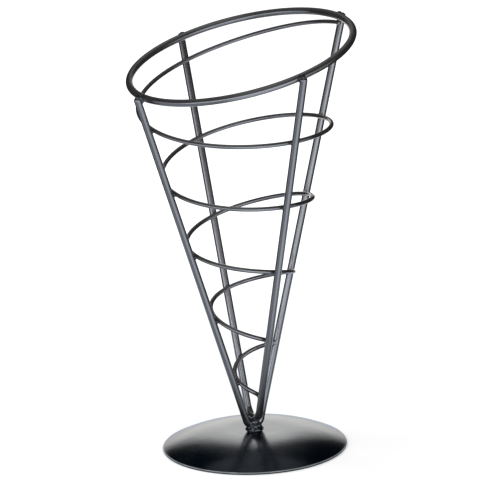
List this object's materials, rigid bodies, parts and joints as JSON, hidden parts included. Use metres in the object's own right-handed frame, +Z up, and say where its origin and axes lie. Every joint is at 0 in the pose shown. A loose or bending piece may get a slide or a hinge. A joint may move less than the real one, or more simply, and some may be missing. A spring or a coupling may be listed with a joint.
{
  "type": "wire serving cone",
  "caption": "Black wire serving cone: sloping round rim, crossed V-bent legs and a spiral wire, welded on a shallow domed round base.",
  "frame": {"origin": "centre of the base disc's foot circle, on the table surface", "axes": "+Z up through the cone's open mouth, -Y towards the front, where the rim is lowest, +X to the right"},
  "size_m": [0.1349, 0.1318, 0.2362],
  "materials": {
    "coated_sheet": "black satin powder coat over stamped steel sheet",
    "coated_wire": "black satin powder coat over drawn steel wire",
    "coated_weld": "black satin powder coat over weld metal"
  },
  "bodies": {
    "root": {"base_disc": "coated_sheet", "rim_ring": "coated_wire", "front_rear_legs": "coated_wire", "side_legs": "coated_wire", "spiral_wire": "coated_wire", "base_weld": "coated_weld", "rim_welds": "coated_weld"}
  },
  "joints": []
}
